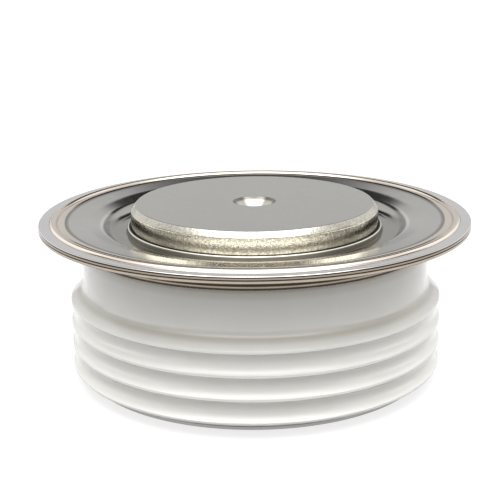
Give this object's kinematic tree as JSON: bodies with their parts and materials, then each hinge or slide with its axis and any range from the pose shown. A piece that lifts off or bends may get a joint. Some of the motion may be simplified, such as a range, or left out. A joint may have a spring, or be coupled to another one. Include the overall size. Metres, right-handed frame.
{
  "type": "disc thyristor",
  "caption": "Round press-pack thyristor with flat contact poles, a thin double rim, a ribbed ceramic body and a gate pin, for clamping between heatsinks.",
  "frame": {"origin": "centre of the anode contact face, which the part stands on", "axes": "+Z from the anode face to the cathode face, +Y towards the gate terminal"},
  "size_m": [0.059, 0.059, 0.024],
  "materials": {
    "nickel_pole": "satin nickel plate on copper, lightly speckled",
    "nickel_sheet": "bright nickel plate, coppery along the weld bead",
    "glazed_alumina": "white glaze",
    "silver_foil": "soft silver",
    "molybdenum": "lapped",
    "silicon": "polished",
    "silicone": "matte",
    "ptfe": "matte",
    "gate_metal": "gold flash on a nickel alloy",
    "spring_steel": "bright drawn wire"
  },
  "bodies": {
    "root": {"anode_pole": "nickel_pole", "anode_flange": "nickel_sheet", "ceramic_housing": "glazed_alumina", "weld_ring": "nickel_sheet", "cathode_membrane": "nickel_sheet", "cathode_pole": "nickel_pole", "anode_foil": "silver_foil", "anode_disc": "molybdenum", "silicon_wafer": "silicon", "edge_seal": "silicone", "cathode_disc": "molybdenum", "cathode_foil": "silver_foil", "centring_ring": "ptfe", "gate_plunger": "gate_metal", "gate_spring": "spring_steel", "gate_bush": "ptfe", "gate_lead": "gate_metal", "lead_sleeve": "ptfe", "gate_eyelet": "nickel_sheet", "gate_terminal": "gate_metal"}
  },
  "joints": []
}
